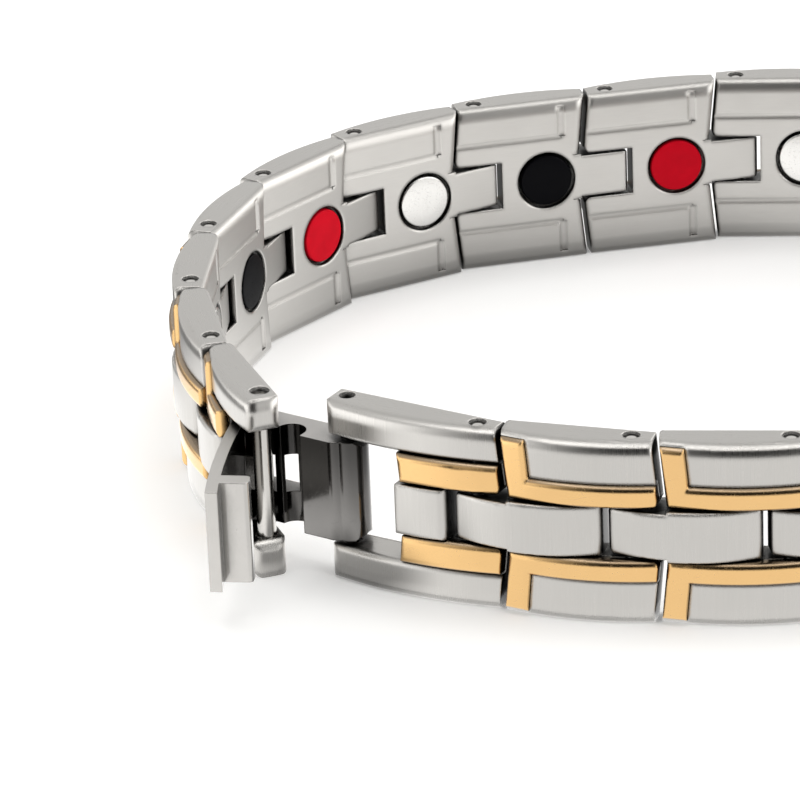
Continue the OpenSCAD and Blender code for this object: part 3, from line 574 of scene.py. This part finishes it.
def makeFloor(values, light):
    half, down = values["half"], -values["drop"]
    mesh = bpy.data.meshes.new("floor")
    mesh.from_pydata([(-half, -half, down), (half, -half, down), (half, half, down), (-half, half, down)],
                     [], [(0, 1, 2, 3)])
    floor = bpy.data.objects.new("floor", mesh)
    bpy.context.scene.collection.objects.link(floor)
    material, tree, shader = newMaterial("paleFloor")
    place = objectPlace(tree)
    cloud = noiseNode(tree, place, Scale=values["cloudScale"], Detail=values["cloudDetail"])
    low, high = [(level, level, level * values["warmth"], 1)
                 for level in (values["tone"] - values["spread"], values["tone"] + values["spread"])]
    tree.links.new(mixColour(tree, cloud, low, high), shader["Base Color"])
    shader["Roughness"].default_value = values["rough"]
    shader["Specular IOR Level"].default_value = values["specular"]
    shader["Emission Color"].default_value = (1.0, 1.0, values["warmth"], 1)
    shader["Emission Strength"].default_value = values["glow"]
    mirrored = addNode(tree, "ShaderNodeLightPath").outputs["Is Glossy Ray"]
    mixed = addNode(tree, "ShaderNodeMixShader", i0=mirrored, i1=tree.nodes["Principled BSDF"].outputs[0],
                    i2=paintedTableReflection(tree, place, light))
    tree.links.new(mixed.outputs[0], tree.nodes["Material Output"].inputs["Surface"])
    floor.data.materials.append(material)
    floor.visible_shadow = False         # or the crevice shade would darken the low steel


makeFloor(whiteTable, tableLight)

studio = {"colour": (1.0, 0.995, 0.985, 1.0),                        # limits are sines or cosines
          "wall": 0.92, "horizon": 1.0, "horizonTop": 0.12,
          "overhead": 4.2, "overheadFrom": 0.91, "overheadFull": 0.96,
          "zenithFrom": 0.97, "zenithFull": 0.985,
          "dark": 0.02, "darkFrom": 0.62, "darkFull": 0.93, "darkStep": 0.05,
          "darkTop": 0.8, "darkEnd": 0.92,
          "right": 1.8, "rightFrom": 0.5, "rightFull": 0.75, "left": 1.3, "leftFrom": 0.7, "leftFull": 0.9,
          "boxTop": 0.5, "boxEnd": 0.65}


def makeStudio(values):
    world = bpy.data.worlds.new("studio")
    bpy.context.scene.world = world
    world.use_nodes = True
    tree = world.node_tree
    tree.nodes.clear()

    def rise(value, low, high):
        return rangeNode(tree, value, values[low], values[high], smooth=True)

    def fall(value, low, high):
        return mathNode(tree, "SUBTRACT", 1.0, rise(value, low, high))

    direction = addNode(tree, "ShaderNodeTexCoord").outputs["Generated"]
    parts = addNode(tree, "ShaderNodeSeparateXYZ", Vector=direction).outputs
    height = parts["Z"]
    squared = mathNode(tree, "MULTIPLY", height, height)
    level = mathNode(tree, "SQRT", mathNode(tree, "SUBTRACT", 1.0, squared))
    side = mathNode(tree, "DIVIDE", parts["X"], level)
    front = mathNode(tree, "MULTIPLY", mathNode(tree, "DIVIDE", parts["Y"], level), -1.0)

    light = rangeNode(tree, height, 0.0, values["horizonTop"], values["horizon"], values["wall"], True)
    low = fall(height, "boxTop", "boxEnd")
    for name, value in (("right", side), ("left", mathNode(tree, "MULTIPLY", side, -1.0))):   # side boxes
        box = mathNode(tree, "MULTIPLY", rise(value, name + "From", name + "Full"), low)
        light = mathNode(tree, "MULTIPLY_ADD", box, values[name], light)
    ahead = mathNode(tree, "MULTIPLY", rise(front, "darkFrom", "darkFull"),
                     fall(height, "darkTop", "darkEnd"))
    above = rangeNode(tree, height, 0.0, values["darkStep"], smooth=True)
    unlit = mathNode(tree, "MULTIPLY", ahead, above)                 # the studio's front wall is dark
    light = mixValue(tree, unlit, light, values["dark"])
    light = mixValue(tree, rise(height, "overheadFrom", "overheadFull"), light, values["overhead"])
    light = mixValue(tree, rise(height, "zenithFrom", "zenithFull"), light, values["wall"])
    light = mathNode(tree, "MULTIPLY", light, mathNode(tree, "GREATER_THAN", height, 0.0))
    background = addNode(tree, "ShaderNodeBackground", Strength=light, Color=values["colour"])
    out = tree.nodes.new("ShaderNodeOutputWorld")
    tree.links.new(background.outputs[0], out.inputs[0])


makeStudio(studio)

photoCamera = {"lens": 227.909, "sensor": 36.0,                                  # millimetres
               "elevation": 23.852, "roll": -2.338,                              # degrees
               "distance": 0.336465, "aim": (-0.0230637, 0.0037724, 0.0),        # metres
               "nearest": 0.01, "farthest": 20.0}


def makeCamera(values):
    camera = bpy.data.cameras.new("photoCamera")
    camera.lens, camera.sensor_width = values["lens"], values["sensor"]
    camera.clip_start, camera.clip_end = values["nearest"], values["farthest"]
    lean, roll = math.radians(values["elevation"]), math.radians(values["roll"])
    forward = Vector((0, math.cos(lean), -math.sin(lean)))
    level, upright = Vector((1, 0, 0)), Vector((0, math.sin(lean), math.cos(lean)))
    right = math.cos(roll) * level + math.sin(roll) * upright
    up = math.cos(roll) * upright - math.sin(roll) * level
    holder = bpy.data.objects.new("photoCamera", camera)
    holder.matrix_world = Matrix((right, up, -forward)).transposed().to_4x4()
    holder.location = Vector(values["aim"]) - values["distance"] * forward
    bpy.context.scene.collection.objects.link(holder)
    bpy.context.scene.camera = holder


makeCamera(photoCamera)
bpy.context.scene.view_settings.view_transform = "Standard"
print("floor, light and camera ready")
